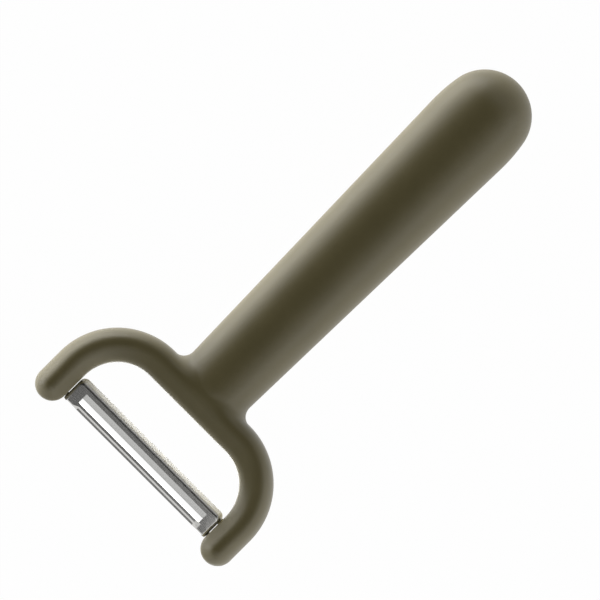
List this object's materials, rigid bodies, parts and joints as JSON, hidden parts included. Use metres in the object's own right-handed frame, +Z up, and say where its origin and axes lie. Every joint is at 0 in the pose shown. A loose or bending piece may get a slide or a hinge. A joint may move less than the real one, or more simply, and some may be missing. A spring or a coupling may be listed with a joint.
{
  "type": "vegetable peeler",
  "caption": "Y-shaped peeler: round plastic grip, oval yoke bent round two corners, and a slotted steel blade that swings on short pins between the arms.",
  "frame": {"origin": "middle of the footprint, on the surface that the peeler lies on", "axes": "+Y along the grip, away from the blade; +X to the right, along the blade's pivot line; +Z up. The arms lean up by about 1.5 degrees, so that the straight underside of the tapered grip is level"},
  "size_m": [0.0696, 0.145, 0.0254],
  "materials": {
    "olive_plastic": "matte, fine moulded texture",
    "core_plastic": "natural, as moulded",
    "stainless": "bright rolled sheet with a ground edge",
    "pin_steel": "turned, plain"
  },
  "bodies": {
    "handle": {"handle_moulding": "olive_plastic", "grip_core": "core_plastic"},
    "blade": {"blade": "stainless", "pivot_pin_left": "pin_steel", "pivot_pin_right": "pin_steel"}
  },
  "joints": [
    {"name": "blade_swivel", "type": "hinge", "parent": "handle", "child": "blade", "pos_m": [0, -0.0672, 0.00954], "axis": [1, 0, 0], "range_deg": [-49.5, 5.5]}
  ]
}
